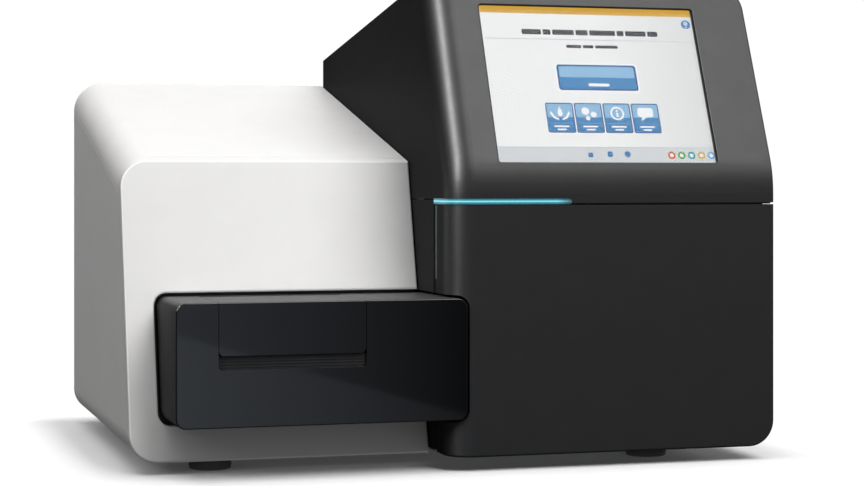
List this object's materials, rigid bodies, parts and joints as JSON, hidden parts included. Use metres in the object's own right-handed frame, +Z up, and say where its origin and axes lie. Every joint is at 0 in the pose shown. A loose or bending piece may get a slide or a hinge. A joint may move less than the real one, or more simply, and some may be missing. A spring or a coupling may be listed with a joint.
{
  "type": "benchtop sequencing instrument",
  "caption": "Benchtop DNA sequencer: white optics wing with a glossy black flow-cell pod, and a charcoal reagent tower with a leaning touch screen and a glowing status bar.",
  "frame": {"origin": "centre of the overall footprint, on the bench surface under the feet", "axes": "+X to the instrument's right seen from the front, +Y from its front to its rear, +Z up"},
  "size_m": [0.686, 0.5659, 0.5228],
  "materials": {
    "white_cover": "satin painted plastic",
    "charcoal_cover": "fine-textured matt",
    "black_shell": "satin",
    "black_glass": "high gloss",
    "screen_glass": "anti-reflective",
    "display": "lit display",
    "status_light": "frosted light guide",
    "sheet_steel": "powder coated",
    "machined_aluminium": "machined",
    "black_anodised": "black anodised",
    "steel_shaft": "ground",
    "chrome_pin": "polished",
    "foot_rubber": "matt",
    "bay_plastic": "satin",
    "grey_plastic": "satin",
    "clear_plastic": "clear",
    "bottle_plastic": "translucent",
    "blue_plastic": "satin",
    "circuit_green": "solder mask",
    "black_plastic": "satin",
    "screw_steel": "zinc plated"
  },
  "bodies": {
    "chassis": {"base_tray": "sheet_steel", "feet": "foot_rubber", "centre_bulkhead": "sheet_steel", "equipment_shelf": "sheet_steel", "left_front_panel": "white_cover", "left_top_cover": "white_cover", "left_side_panel": "white_cover", "left_rear_panel": "white_cover", "screen_bezel": "charcoal_cover", "tower_left_panel": "charcoal_cover", "tower_right_panel": "charcoal_cover", "tower_top_cover": "charcoal_cover", "tower_rear_panel": "charcoal_cover", "door_hinge_frame_leaves": "steel_shaft", "door_hinge_pins": "chrome_pin", "door_latch_magnets": "chrome_pin", "touch_glass": "screen_glass", "lcd_module": "display", "status_light_bar": "status_light", "pod_housing": "black_shell", "pod_front_glass": "black_glass", "finger_grip": "black_shell", "hinge_pins": "chrome_pin", "optics_base": "machined_aluminium", "stage_rails": "steel_shaft", "lead_screw_motors": "black_plastic", "optics_housing": "black_anodised", "bay_liner": "bay_plastic", "reagent_chiller": "grey_plastic", "chiller_heat_sink": "machined_aluminium", "reagent_cartridge": "blue_plastic", "manifold_guide_rods": "steel_shaft", "fluid_bottles": "bottle_plastic", "syringe_pump": "black_anodised", "computer_board": "circuit_green", "power_supply": "sheet_steel", "power_inlet": "black_plastic", "data_ports": "steel_shaft", "fan_frame": "black_plastic", "cover_screws": "screw_steel"},
    "reagent_door": {"reagent_door": "charcoal_cover", "door_liner": "grey_plastic", "door_hinge_door_leaves": "steel_shaft"},
    "flow_cell_door": {"flow_cell_door": "black_glass"},
    "stage": {"stage_carriage": "machined_aluminium", "thermal_block": "machined_aluminium", "flow_cell": "clear_plastic", "latch_pin": "chrome_pin"},
    "stage_lead_screw": {"stage_lead_screw": "steel_shaft"},
    "flow_cell_latch": {"flow_cell_latch": "steel_shaft"},
    "latch_release_button": {"latch_release_button": "blue_plastic"},
    "objective_lens": {"objective_lens": "chrome_pin"},
    "chiller_door": {"chiller_door": "bay_plastic"},
    "sipper_manifold": {"sipper_manifold": "machined_aluminium"},
    "manifold_lead_screw": {"manifold_lead_screw": "steel_shaft"},
    "sipper_handle": {"sipper_handle": "blue_plastic"},
    "bottle_sippers": {"bottle_sippers": "grey_plastic"},
    "syringe_plungers": {"syringe_plungers": "steel_shaft"},
    "fan_rotor": {"fan_rotor": "black_plastic"},
    "power_switch": {"power_switch": "black_plastic"}
  },
  "joints": [
    {"name": "reagent_door_hinge", "type": "hinge", "parent": "chassis", "child": "reagent_door", "pos_m": [0.3395, -0.2558, 0.15], "axis": [0, 0, 1], "range_deg": [0, 100]},
    {"name": "flow_cell_door_hinge", "type": "hinge", "parent": "chassis", "child": "flow_cell_door", "pos_m": [-0.19, -0.18, 0.17], "axis": [-1, 0, 0], "range_deg": [0, 90]},
    {"name": "stage_slide", "type": "slide", "parent": "chassis", "child": "stage", "axis": [0, 1, 0], "range_m": [0, 0.17]},
    {"name": "stage_screw_spin", "type": "hinge", "parent": "chassis", "child": "stage_lead_screw", "pos_m": [-0.19, 0, 0.079], "axis": [0, 1, 0], "range_deg": [0, 6130]},
    {"name": "latch_hinge", "type": "hinge", "parent": "stage", "child": "flow_cell_latch", "pos_m": [-0.19, -0.188, 0.1105], "axis": [-1, 0, 0], "range_deg": [0, 90]},
    {"name": "latch_button_press", "type": "slide", "parent": "stage", "child": "latch_release_button", "axis": [0, 0, -1], "range_m": [0, 0.002], "stiffness_N_per_m": 600},
    {"name": "focus_slide", "type": "slide", "parent": "chassis", "child": "objective_lens", "axis": [0, 0, 1], "range_m": [-0.0015, 0.0015]},
    {"name": "chiller_door_hinge", "type": "hinge", "parent": "chassis", "child": "chiller_door", "pos_m": [0.018, -0.139, 0.081], "axis": [0, 0, -1], "range_deg": [0, 90]},
    {"name": "sipper_manifold_slide", "type": "slide", "parent": "chassis", "child": "sipper_manifold", "axis": [0, 0, -1], "range_m": [0, 0.05]},
    {"name": "manifold_screw_spin", "type": "hinge", "parent": "chassis", "child": "manifold_lead_screw", "pos_m": [0.126, -0.035, 0.19], "axis": [0, 0, 1], "range_deg": [0, 1810]},
    {"name": "sipper_handle_hinge", "type": "hinge", "parent": "chassis", "child": "sipper_handle", "pos_m": [0.23, -0.136, 0.235], "axis": [-1, 0, 0], "range_deg": [0, 40]},
    {"name": "bottle_sipper_lift", "type": "slide", "parent": "chassis", "child": "bottle_sippers", "axis": [0, 0, 1], "range_m": [0, 0.0676]},
    {"name": "syringe_stroke", "type": "slide", "parent": "chassis", "child": "syringe_plungers", "axis": [0, 0, 1], "range_m": [-0.018, 0.034]},
    {"name": "fan_spin", "type": "hinge", "parent": "chassis", "child": "fan_rotor", "pos_m": [-0.185, 0.265, 0.25], "axis": [0, 1, 0], "continuous": true},
    {"name": "power_switch_rock", "type": "hinge", "parent": "chassis", "child": "power_switch", "pos_m": [0.2125, 0.272, 0.084], "axis": [1, 0, 0], "range_deg": [0, 16]}
  ],
  "couplings": [
    {"joint": "stage_screw_spin", "follows": "stage_slide", "rad_per_m": 628.32},
    {"joint": "manifold_screw_spin", "follows": "sipper_manifold_slide", "rad_per_m": 628.32},
    {"joint": "bottle_sipper_lift", "follows": "sipper_handle_hinge", "m_per_rad": 0.096687}
  ]
}
